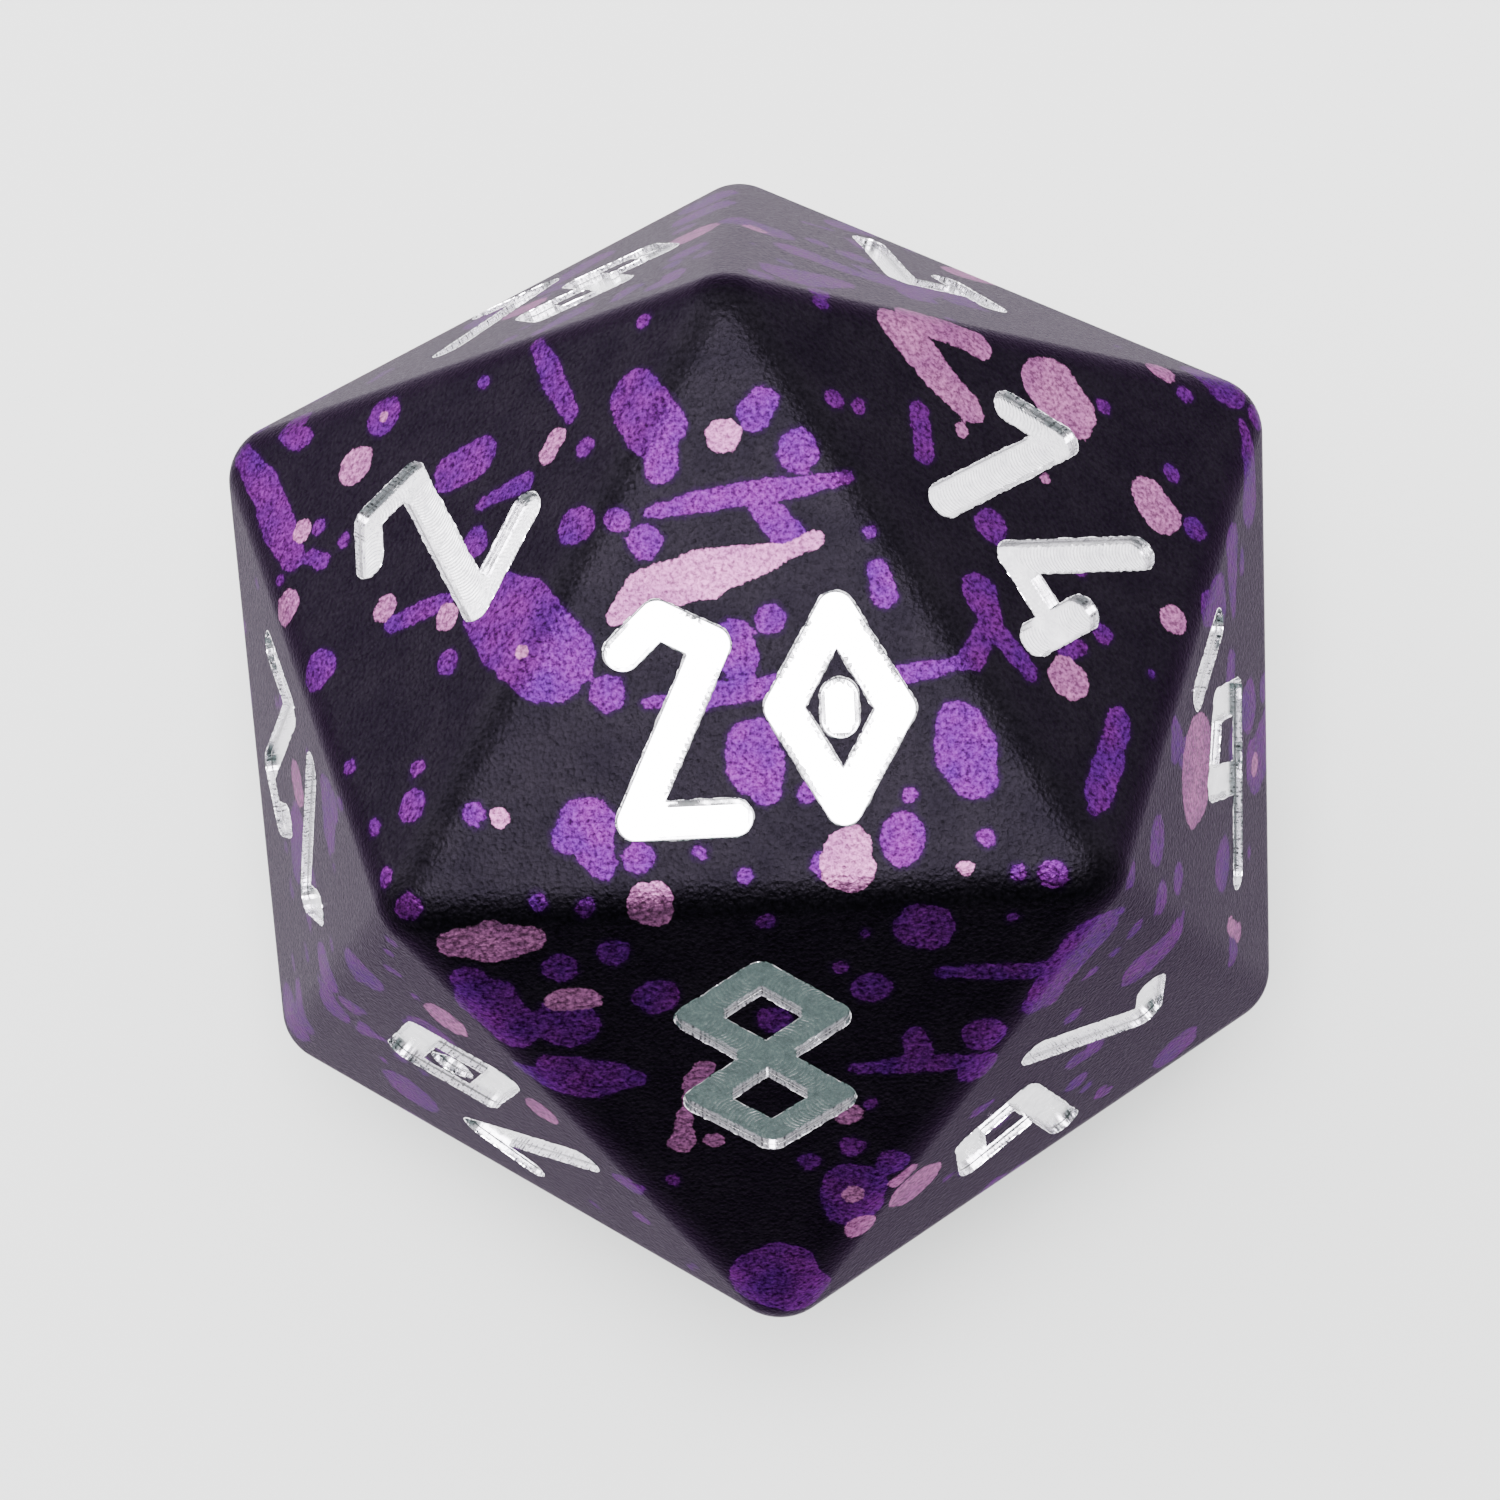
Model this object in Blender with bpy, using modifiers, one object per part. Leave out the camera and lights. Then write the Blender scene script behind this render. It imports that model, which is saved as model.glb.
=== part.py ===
"""A large twenty-sided die, cut from one piece of aluminium.

A regular icosahedron with rounded edges and corners. Each face carries its numeral as a flat-bottomed
pocket, cut by a small round cutter that runs along the numeral's strokes. Opposite faces add up to 21.
The die stands on face 1 with face 20 up. Metres, +Z up, origin under the middle at the base.
"""
import math

import bmesh
import bpy
from mathutils import Matrix, Vector
from mathutils.geometry import convex_hull_2d, delaunay_2d_cdt

# Driving dimensions
FLAT_TO_FLAT = 0.045
EDGE_RADIUS = 0.0027
EDGE_SEGMENTS = 4
STROKE_WIDTH = 0.0016
POCKET_DEPTH = 0.0003
CUTTER_HEADROOM = 0.0010
CUTTER_SIDES = 16
FLAT_ANGLE = math.radians(0.5)
MERGE_DISTANCE = 0.000001
LEVEL_DISTANCE = 0.00001
INSIDE_ONLY = 1
SINGLE_HEIGHT = 0.0092
PAIR_HEIGHT = 0.0083
PAIR_GAP = 0.0035
TIGHT_PAIR_GAP = 0.0022
FOOT_BELOW_CENTRE = 0.0046

# A regular icosahedron of edge 1 is 1.5115 across its flats, and 1.9021 across its corners.
EDGE = FLAT_TO_FLAT / (math.sqrt(3.0) * (3.0 + math.sqrt(5.0)) / 6.0)
CORNER_RADIUS = EDGE * math.sqrt(10.0 + 2.0 * math.sqrt(5.0)) / 4.0
FACE_HEIGHT = FLAT_TO_FLAT / 2.0
TURN_AT_EDGE = math.pi - math.acos(-math.sqrt(5.0) / 3.0)

OPPOSITE_SUM = 21
# The upper ten faces, ring by ring from the top, each ring in order of azimuth from +X
UPPER_NUMBERS = (20, 14, 2, 8, 4, 18, 12, 10, 16, 6)

# Stroke centre-lines of each digit. Its height is 1, and its foot is at 0.
DIGITS = {
    "0": [[(0.0, 1.0), (0.28, 0.5), (0.0, 0.03), (-0.28, 0.53), (0.0, 1.0)], [(0.0, 0.57), (0.0, 0.46)]],
    "1": [[(-0.28, 0.79), (0.0, 1.0), (0.0, 0.0)]],
    "2": [[(-0.03, 0.84), (0.145, 1.0), (0.41, 0.86), (0.0, 0.0), (0.485, 0.0)]],
    "3": [[(0.0, 0.86), (0.2, 1.0), (0.42, 0.76), (0.16, 0.52), (0.44, 0.26), (0.2, 0.0), (-0.02, 0.16)]],
    "4": [[(0.29, 1.02), (0.0, 0.19), (0.415, 0.19)], [(0.415, 0.41), (0.415, 0.0)]],
    "5": [[(0.42, 1.0), (0.04, 1.0), (0.02, 0.6), (0.22, 0.66), (0.44, 0.36), (0.2, 0.0), (-0.02, 0.14)]],
    "6": [[(0.195, 1.0), (-0.295, 0.23), (0.0, 0.0), (0.285, 0.25), (-0.05, 0.56)]],
    "7": [[(0.0, 1.0), (0.44, 1.0), (0.1, 0.0)]],
    "8": [[(0.0, 1.0), (0.31, 0.75), (-0.31, 0.26), (0.0, 0.0), (0.315, 0.24), (-0.315, 0.77), (0.0, 1.0)]],
    "9": [[(-0.195, 0.0), (0.295, 0.77), (0.0, 1.0), (-0.285, 0.75), (0.05, 0.44)]],
}
# The bar under 6 and 9, which tells them apart
BAR = [(-0.22, -0.32), (0.22, -0.32)]
BARRED_NUMBERS = (6, 9)

# How far a numeral stands from its usual place: to the right, and up, in metres
SHIFTS = {
    20: (0.0008, -0.0006),
    14: (0.0, -0.0001),
    18: (-0.0008, 0.0008),
    16: (0.0, 0.0004),
    12: (0.0, -0.0003),
    10: (0.0, -0.0004),
    4: (0.0012, 0.0023),
    6: (-0.0007, 0.0019),
    9: (0.0, 0.0019),
    2: (0.0004, 0.0002),
    8: (-0.0002, 0.0002),
}


def clear_scene():
    for thing in list(bpy.data.objects):
        bpy.data.objects.remove(thing, do_unlink=True)


def make_collection(name):
    collection = bpy.data.collections.new(name)
    bpy.context.scene.collection.children.link(collection)
    return collection


def make_material(name, colour, metallic, roughness):
    material = bpy.data.materials.new(name)
    material.use_nodes = True
    shader = material.node_tree.nodes["Principled BSDF"]
    shader.inputs["Base Color"].default_value = (*colour, 1.0)
    shader.inputs["Metallic"].default_value = metallic
    shader.inputs["Roughness"].default_value = roughness
    return material


def face_frame(corners, up_corner):
    """A frame on a face's centre: X to the numeral's right, Y up it, Z out of the face."""
    centre = sum(corners, Vector()) / len(corners)
    normal = centre.normalized()
    up = (up_corner - centre).normalized()
    right = up.cross(normal)
    frame = Matrix((right, up, normal)).transposed().to_4x4()
    frame.translation = centre
    return frame


def add_icosahedron(name, collection):
    """The sharp die with one face level on top, one face level below and a top corner towards +Y."""
    bpy.ops.mesh.primitive_ico_sphere_add(subdivisions=1, radius=CORNER_RADIUS)
    solid = bpy.context.object
    solid.name = name
    solid.data.name = name
    for owner in list(solid.users_collection):
        owner.objects.unlink(solid)
    collection.objects.link(solid)
    face = solid.data.polygons[0]
    corners = [solid.data.vertices[index].co.copy() for index in face.vertices]
    upright = face_frame(corners, corners[0]).to_3x3().transposed().to_4x4()
    solid.data.transform(Matrix.Translation((0.0, 0.0, FACE_HEIGHT)) @ upright)
    for vertex in solid.data.vertices:
        for level in (0.0, FLAT_TO_FLAT):
            if abs(vertex.co.z - level) < LEVEL_DISTANCE:
                vertex.co.z = level
    return solid


def numbered_frames(solid):
    """Each number with the frame of its face, its Y towards the corner that the numeral points at."""
    middle = Vector((0.0, 0.0, FACE_HEIGHT))
    faces = []
    for polygon in solid.data.polygons:
        corners = [solid.data.vertices[index].co - middle for index in polygon.vertices]
        normal = sum(corners, Vector()).normalized()
        azimuth = math.atan2(normal.y, normal.x) % math.tau
        faces.append((-round(normal.z, 3), round(azimuth, 3), corners))
    faces.sort(key=lambda face: face[:2])
    frames = {}
    for number, (_, _, corners) in zip(UPPER_NUMBERS, faces):
        up_corner = min(corners, key=lambda corner: (round(corner.z, 6), -corner.y))
        frames[number] = Matrix.Translation(middle) @ face_frame(corners, up_corner)
        opposite = [-corner for corner in corners]
        frames[OPPOSITE_SUM - number] = Matrix.Translation(middle) @ face_frame(opposite, -up_corner)
    return frames


def numeral_strokes(number):
    """The straight strokes of a number, as pairs of points in metres from its face's centre."""
    digits = str(number)
    height = SINGLE_HEIGHT if len(digits) == 1 else PAIR_HEIGHT
    lines = []
    pen = 0.0
    for place, digit in enumerate(digits):
        points = [point for line in DIGITS[digit] for point in line]
        left = min(x for x, _ in points) * height
        right = max(x for x, _ in points) * height
        if place > 0:
            pen += PAIR_GAP if digits[0] == "1" else TIGHT_PAIR_GAP
        lines += [[(x * height + pen - left, y * height) for x, y in line] for line in DIGITS[digit]]
        pen += right - left
    if number in BARRED_NUMBERS:
        lines.append([(x * height + pen / 2.0, y * height) for x, y in BAR])
    shift_right, shift_up = SHIFTS.get(number, (0.0, 0.0))
    across = shift_right - pen / 2.0
    rise = shift_up - FOOT_BELOW_CENTRE
    placed = [[Vector((x + across, y + rise)) for x, y in line] for line in lines]
    return [pair for line in placed for pair in zip(line, line[1:])]


def stroke_outline(start, end):
    """The outline of the round cutter's path between two points, as a ring of 2D points."""
    points = []
    for centre in (start, end):
        for side in range(CUTTER_SIDES):
            angle = math.tau * side / CUTTER_SIDES
            points.append(centre + Vector((math.cos(angle), math.sin(angle))) * STROKE_WIDTH / 2.0)
    return [points[index] for index in convex_hull_2d(points)]


def add_numeral_cutter(name, strokes, frame, collection):
    """The space that the round cutter clears for one numeral, as a closed prism across the skin."""
    points = []
    rings = []
    for start, end in strokes:
        outline = stroke_outline(start, end)
        rings.append(list(range(len(points), len(points) + len(outline))))
        points += outline
    flat_points, _, pieces, _, _, owners = delaunay_2d_cdt(points, [], rings, INSIDE_ONLY, MERGE_DISTANCE)
    mesh = bmesh.new()
    corners = [mesh.verts.new((x, y, -POCKET_DEPTH)) for x, y in flat_points]
    for piece, strokes_over_it in zip(pieces, owners):
        if strokes_over_it:
            mesh.faces.new([corners[index] for index in piece])
    bmesh.ops.dissolve_limit(mesh, angle_limit=FLAT_ANGLE, verts=mesh.verts, edges=mesh.edges)
    swept = bmesh.ops.extrude_face_region(mesh, geom=mesh.faces[:])
    top = [item for item in swept["geom"] if isinstance(item, bmesh.types.BMVert)]
    bmesh.ops.translate(mesh, verts=top, vec=(0.0, 0.0, POCKET_DEPTH + CUTTER_HEADROOM))
    bmesh.ops.recalc_face_normals(mesh, faces=mesh.faces)
    data = bpy.data.meshes.new(name)
    mesh.to_mesh(data)
    mesh.free()
    cutter = bpy.data.objects.new(name, data)
    cutter.matrix_world = frame
    cutter.hide_render = True
    cutter.display_type = "WIRE"
    collection.objects.link(cutter)


def add_die(parts, cutters):
    die = add_icosahedron("die_body", parts)
    for number, frame in sorted(numbered_frames(die).items()):
        add_numeral_cutter(f"numeral_{number:02d}", numeral_strokes(number), frame, cutters)

    rounding = die.modifiers.new("rounded edges", "BEVEL")
    rounding.width = EDGE_RADIUS * math.tan(TURN_AT_EDGE / 2.0)
    rounding.segments = EDGE_SEGMENTS
    rounding.limit_method = "NONE"

    pockets = die.modifiers.new("numeral pockets", "BOOLEAN")
    pockets.operation = "DIFFERENCE"
    pockets.solver = "EXACT"
    pockets.operand_type = "COLLECTION"
    pockets.collection = cutters

    die.data.materials.append(make_material("anodised_aluminium", (0.02, 0.018, 0.024), 0.6, 0.45))


clear_scene()
add_die(make_collection("polyhedral_die"), make_collection("numeral_cutters"))
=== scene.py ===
"""A large twenty-sided die in blasted, splash-dyed anodised aluminium, with numerals milled to bare metal.

The visible die is two pieces over one CAD solid: the dyed film on the skin, and the bare metal that the
cutter left in the numerals. Both follow the CAD solid's own size, rounding, strokes and pocket depth.
"""

import math
import random

import bpy
import numpy as np
from mathutils import Matrix, Vector
from mathutils.geometry import convex_hull_2d, delaunay_2d_cdt


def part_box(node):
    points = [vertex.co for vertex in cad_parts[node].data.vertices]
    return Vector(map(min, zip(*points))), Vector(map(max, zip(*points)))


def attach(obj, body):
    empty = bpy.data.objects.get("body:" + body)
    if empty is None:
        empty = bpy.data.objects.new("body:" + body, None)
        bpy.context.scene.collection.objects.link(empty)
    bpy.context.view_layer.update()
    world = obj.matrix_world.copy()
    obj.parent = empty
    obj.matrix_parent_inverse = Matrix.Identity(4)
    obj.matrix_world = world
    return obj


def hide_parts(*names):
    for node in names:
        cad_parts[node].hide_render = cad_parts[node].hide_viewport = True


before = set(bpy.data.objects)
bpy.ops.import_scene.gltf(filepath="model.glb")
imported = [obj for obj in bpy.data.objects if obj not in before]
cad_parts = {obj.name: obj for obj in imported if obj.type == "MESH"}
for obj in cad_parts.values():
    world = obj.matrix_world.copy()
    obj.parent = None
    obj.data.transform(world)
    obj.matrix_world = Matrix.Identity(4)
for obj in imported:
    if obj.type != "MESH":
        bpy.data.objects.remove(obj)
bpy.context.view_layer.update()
LOW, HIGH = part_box("die_body")

# The die. A regular icosahedron of edge 1 is 1.5115 across its flats.
FLAT_TO_FLAT = HIGH.z - LOW.z
INRADIUS = FLAT_TO_FLAT / 2.0
EDGE = FLAT_TO_FLAT / (math.sqrt(3.0) * (3.0 + math.sqrt(5.0)) / 6.0)
GOLDEN = (1.0 + math.sqrt(5.0)) / 2.0
CENTRE = Vector((0.0, 0.0, LOW.z + INRADIUS))
EDGE_RADIUS = 0.0027
OPPOSITE_SUM = 21
RESTING_NUMBER = 1

# The numerals, in metres
STROKE_WIDTH = 0.0016
POCKET_DEPTH = 0.0003
SINGLE_HEIGHT = 0.0092
PAIR_HEIGHT = 0.0083
PAIR_GAP = 0.0035
TIGHT_PAIR_GAP = 0.0022
FOOT_BELOW_CENTRE = 0.0046

# How finely the surfaces are drawn
LATTICE_STEPS = 200
FINE_ROWS = 9
RIM_SPACING = 0.00008
FLOOR_SPACING = 0.00013
RIM_CLEARANCE = 0.00012
CUTTER_SIDES = 48
FEWEST_RING_POINTS = 12
FEWEST_KNOTS = 3
BLOCK_LENGTH = 512
SLIVER_AREA = 1e-12
WALL_CREASE = math.radians(13.0)
MERGE_DISTANCE = 0.000001
WELD_DISTANCE = 0.000002
ON_RIM_DISTANCE = 0.000005
WHOLE_HULL = 0
INSIDE_ONLY = 1
MILLIMETRES_PER_METRE = 1000.0

# What the cutter left at the rim, on the walls and where the arcs of two strokes meet, in metres
RIM_REACH = 0.000030
RIM_QUICK_WANDER = 0.000026
RIM_SLOW_WANDER = 0.000022
BURR_LEAST = 0.000008
BURR_RISE = 0.000030
CREST_WANDER = 0.000012
WALL_INSET = 0.000010
WALL_SCRAPE = 0.000010
LIP_DEPTH = 0.000030
FOOT_HEIGHT = 0.000030
FOOT_REACH = 0.000038
JOINT_MARGIN = 0.00030
JOINT_WIDTH = 0.00020
# How many points of a ring each of these marks takes to change
RIM_PERIODS = (2.5, 9.0)
BURR_PERIODS = (2.2, 9.0)
CREST_PERIOD = 2.0
SCRAPE_PERIOD = 1.8
# Where a wall bulges by its scrapes, as shares of the depth, and by how much of them
UPPER_LEVEL = 0.35
LOWER_LEVEL = 0.7
LIP_SHARE = 0.5
BULGE_SHARE = 0.3
# The pitches of the cutter's arcs and flutes, in millimetres
ARC_PITCH = 0.19
FLUTE_PITCH = 0.21

# Texture scales, in features to the metre
GRAIN_SCALE = 5200.0
PATCH_SCALE = 420.0
EDGE_SCALES = (900.0, 3200.0)
SMEAR_SCALE = 1500.0
SPECKLE_SCALE = 5200.0
FLOOR_TONE_SCALE = 30.0
# How high the grain and the milling marks stand, in metres
GRAIN_HEIGHT = 0.000034
MILLED_HEIGHT = 0.00001

# Colours in linear light, the dyes as their deeper and lighter patches
BLACK_DYE = ((0.0055, 0.0045, 0.0070, 1.0), (0.0075, 0.0062, 0.0090, 1.0))
VIOLET_DYE = ((0.031, 0.0042, 0.064, 1.0), (0.056, 0.0068, 0.076, 1.0))
PINK_DYE = ((0.17, 0.053, 0.142, 1.0), (0.24, 0.080, 0.188, 1.0))
VIOLET_HALO = (0.010, 0.003, 0.018, 1.0)
FILM_EDGE_TINT = (0.53, 0.49, 0.55, 1.0)
# Bare metal as its darker and lighter tones; the walls take the lighter one as painted light
BARE_METAL = ((0.46, 0.445, 0.49, 1.0), (0.95, 0.93, 0.975, 1.0))
# Painted shade for the pits between a wall's flutes and the groove at its foot
PAINTED_SHADE_COLOUR = (0.05, 0.045, 0.055, 1.0)
FLOOR_COLOURS = ((0.88, 0.88, 0.88, 1.0), (0.90, 0.90, 0.90, 1.0))
ROOM_TINTS = ((0.68, 1.0, 0.92, 1.0), (1.0, 1.0, 1.0, 1.0))

# The room: its floor's size, and each softbox's place, size and radiance
FLOOR_SIZE = 3.0
SOFTBOXES = {
    "overhead": ((0.0, 0.05, 0.62), (0.28, 0.28), 30.0),
    "back_left": ((-0.75, 0.50, 0.30), (0.70, 0.60), 7.0),
    "back_right": ((0.75, 0.48, 0.25), (0.50, 0.50), 2.2),
}

# The camera: its lens in millimetres, its directions, and its place in edge lengths from the die's centre
CAMERA_LENS = 83.7
CAMERA_SENSOR = 36.0
CAMERA_NEAREST = 0.01
CAMERA_BACK = Vector((0.0337, -0.0666, 0.9972))
CAMERA_UP = Vector((0.0477, 0.9967, 0.0649))
CAMERA_PLACE = Vector((0.171, -0.402, 5.527))

# Corners of each upper face; the numeral's foot-to-top direction points at the first
UPPER_FACES = {
    20: (0, 1, 2),
    8: (5, 1, 2),
    2: (4, 0, 1),
    14: (3, 0, 2),
    18: (8, 0, 4),
    4: (8, 0, 3),
    12: (6, 1, 4),
    10: (6, 1, 5),
    16: (7, 2, 5),
    6: (7, 2, 3),
}

# Stroke centre-lines of each digit. Its height is 1, and its foot is at 0.
DIGITS = {
    "0": [[(0.0, 1.0), (0.28, 0.5), (0.0, 0.03), (-0.28, 0.53), (0.0, 1.0)], [(0.0, 0.57), (0.0, 0.46)]],
    "1": [[(-0.28, 0.79), (0.0, 1.0), (0.0, 0.0)]],
    "2": [[(-0.03, 0.84), (0.145, 1.0), (0.41, 0.86), (0.0, 0.0), (0.485, 0.0)]],
    "3": [[(0.0, 0.86), (0.2, 1.0), (0.42, 0.76), (0.16, 0.52), (0.44, 0.26), (0.2, 0.0), (-0.02, 0.16)]],
    "4": [[(0.29, 1.02), (0.0, 0.19), (0.415, 0.19)], [(0.415, 0.41), (0.415, 0.0)]],
    "5": [[(0.42, 1.0), (0.04, 1.0), (0.02, 0.6), (0.22, 0.66), (0.44, 0.36), (0.2, 0.0), (-0.02, 0.14)]],
    "6": [[(0.195, 1.0), (-0.295, 0.23), (0.0, 0.0), (0.285, 0.25), (-0.05, 0.56)]],
    "7": [[(0.0, 1.0), (0.44, 1.0), (0.1, 0.0)]],
    "8": [[(0.0, 1.0), (0.31, 0.75), (-0.31, 0.26), (0.0, 0.0), (0.315, 0.24), (-0.315, 0.77), (0.0, 1.0)]],
    "9": [[(-0.195, 0.0), (0.295, 0.77), (0.0, 1.0), (-0.285, 0.75), (0.05, 0.44)]],
}
# The bar under 6 and 9, which tells them apart
BAR = [(-0.22, -0.32), (0.22, -0.32)]
BARRED_NUMBERS = (6, 9)

# How far a numeral stands from its usual place: to the right, and up, in metres
SHIFTS = {
    20: (0.0008, -0.0006),
    14: (0.0, -0.0001),
    18: (-0.0008, 0.0008),
    16: (0.0, 0.0004),
    12: (0.0, -0.0003),
    10: (0.0, -0.0004),
    4: (0.0012, 0.0023),
    6: (-0.0007, 0.0019),
    9: (0.0, 0.0019),
    2: (0.0004, 0.0002),
    8: (-0.0002, 0.0002),
}

# Splashes of dye. Each is a chain of discs (x, y, radius) on its face, in edge lengths from the face's
# centre, with x to the numeral's right and y up it.
VIOLET = {
    20: [
        [(0.036, 0.383, 0.025), (0.05, 0.40, 0.02)],
        [(0.095, 0.333, 0.026), (0.096, 0.322, 0.028)],
        [(-0.115, 0.252, 0.007), (-0.05, 0.262, 0.014), (0.03, 0.272, 0.017), (0.10, 0.278, 0.014),
         (0.165, 0.288, 0.010)],
        [(0.035, 0.262, 0.016), (0.055, 0.235, 0.020), (0.078, 0.21, 0.022)],
        [(-0.124, 0.21, 0.025)],
        [(-0.16, 0.243, 0.018)],
        [(0.046, 0.095, 0.022)],
        [(0.198, 0.156, 0.014), (0.203, 0.122, 0.018)],
        [(0.19, 0.21, 0.010)],
        [(-0.005, 0.075, 0.022), (0.0, 0.045, 0.028)],
        [(-0.183, 0.005, 0.025)],
        [(-0.13, -0.012, 0.006), (-0.05, -0.008, 0.016), (0.05, 0.004, 0.016)],
        [(0.22, 0.01, 0.012), (0.31, 0.022, 0.012)],
        [(0.013, -0.078, 0.038), (0.018, -0.108, 0.040), (0.03, -0.14, 0.024)],
        [(0.298, -0.065, 0.034), (0.305, -0.10, 0.044), (0.315, -0.13, 0.034)],
        [(0.086, -0.145, 0.014)],
        [(-0.22, -0.18, 0.042), (-0.212, -0.205, 0.030), (-0.20, -0.232, 0.020)],
        [(-0.24, -0.19, 0.028)],
        [(-0.15, -0.225, 0.022)],
        [(-0.064, -0.22, 0.012)],
        [(-0.374, -0.155, 0.018)],
        [(0.216, -0.205, 0.028), (0.212, -0.222, 0.030)],
        [(0.105, -0.245, 0.018)],
        [(0.226, -0.155, 0.011)],
        [(0.33, -0.218, 0.013)],
        [(0.368, -0.27, 0.011)],
        [(0.415, -0.275, 0.020)],
        [(-0.005, -0.255, 0.010)],
        [(-0.474, -0.28, 0.020)],
        [(-0.29, -0.28, 0.013)],
        [(-0.225, -0.29, 0.012)],
    ],
    8: [
        [(0.0, 0.46, 0.075), (-0.03, 0.49, 0.05)],
        [(-0.12, 0.31, 0.045), (-0.12, 0.275, 0.050)],
        [(-0.18, 0.226, 0.025)],
        [(-0.058, 0.217, 0.018)],
        [(-0.122, 0.19, 0.020)],
        [(0.144, 0.24, 0.012)],
        [(-0.30, 0.03, 0.012), (-0.22, 0.032, 0.018), (-0.13, 0.035, 0.008)],
        [(-0.225, 0.02, 0.022), (-0.22, -0.02, 0.018)],
        [(-0.318, -0.02, 0.033)],
        [(-0.15, 0.105, 0.010)],
        [(-0.42, -0.135, 0.012), (-0.34, -0.138, 0.016), (-0.26, -0.14, 0.010)],
        [(-0.16, -0.118, 0.028)],
        [(-0.118, -0.158, 0.012)],
        [(-0.238, -0.225, 0.042)],
        [(-0.36, -0.236, 0.010)],
        [(-0.157, -0.22, 0.008)],
        [(0.14, -0.118, 0.033)],
        [(0.18, 0.035, 0.014), (0.24, 0.04, 0.030), (0.31, 0.035, 0.024), (0.36, 0.03, 0.012)],
        [(0.20, 0.015, 0.010), (0.30, 0.0, 0.020)],
        [(0.27, -0.08, 0.048)],
        [(0.35, -0.07, 0.040), (0.38, -0.12, 0.050), (0.40, -0.16, 0.030)],
        [(0.195, -0.205, 0.025)],
        [(0.27, -0.18, 0.025)],
        [(0.228, -0.28, 0.012)],
        [(-0.02, -0.248, 0.012)],
        [(-0.020, -0.064, 0.025)],
    ],
    2: [
        [(0.0, 0.52, 0.020), (-0.03, 0.43, 0.028), (-0.07, 0.36, 0.033), (-0.11, 0.28, 0.022)],
        [(0.06, 0.45, 0.016), (0.06, 0.40, 0.020)],
        [(0.139, 0.245, 0.033)],
        [(-0.05, 0.26, 0.015)],
        [(-0.095, 0.245, 0.012), (-0.095, 0.21, 0.014)],
        [(-0.055, 0.19, 0.012)],
        [(-0.15, 0.285, 0.010)],
        [(-0.24, 0.10, 0.033)],
        [(-0.135, 0.0, 0.014), (-0.10, -0.045, 0.016), (-0.07, -0.09, 0.012)],
        [(-0.148, -0.153, 0.020)],
        [(0.10, 0.04, 0.033), (0.135, 0.0, 0.033)],
        [(0.02, -0.083, 0.025)],
        [(0.075, -0.055, 0.010), (0.13, -0.12, 0.014)],
        [(0.325, 0.01, 0.012), (0.285, -0.06, 0.020), (0.245, -0.14, 0.014)],
        [(0.24, 0.068, 0.013)],
        [(-0.345, -0.068, 0.012)],
        [(0.405, -0.186, 0.013)],
        [(0.205, -0.20, 0.015)],
        [(-0.05, -0.17, 0.050), (-0.06, -0.24, 0.070), (-0.08, -0.33, 0.065)],
        [(0.10, -0.26, 0.030)],
        [(0.30, -0.24, 0.040), (0.27, -0.30, 0.045), (0.24, -0.345, 0.022), (0.22, -0.37, 0.020)],
        [(-0.35, -0.23, 0.025)],
        [(-0.30, -0.20, 0.014)],
        [(-0.40, -0.178, 0.013)],
        [(-0.455, -0.247, 0.013)],
    ],
    14: [
        [(0.04, 0.286, 0.015)],
        [(0.13, 0.26, 0.020)],
        [(-0.055, 0.41, 0.015)],
        [(-0.095, 0.24, 0.012)],
        [(-0.21, -0.105, 0.016), (-0.15, -0.14, 0.018)],
        [(-0.014, -0.108, 0.028)],
        [(0.10, 0.0, 0.015)],
        [(0.195, -0.036, 0.018)],
        [(0.195, -0.09, 0.014), (0.195, -0.12, 0.016)],
        [(0.06, -0.20, 0.030), (0.12, -0.215, 0.018), (0.19, -0.205, 0.016)],
        [(0.10, -0.22, 0.014), (0.134, -0.28, 0.022)],
        [(0.31, -0.10, 0.018), (0.35, -0.16, 0.024), (0.385, -0.225, 0.024)],
        [(0.40, -0.25, 0.010)],
        [(-0.41, -0.145, 0.012)],
        [(-0.274, -0.235, 0.015)],
        [(-0.25, -0.20, 0.014)],
        [(0.28, 0.004, 0.008)],
    ],
}
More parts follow.
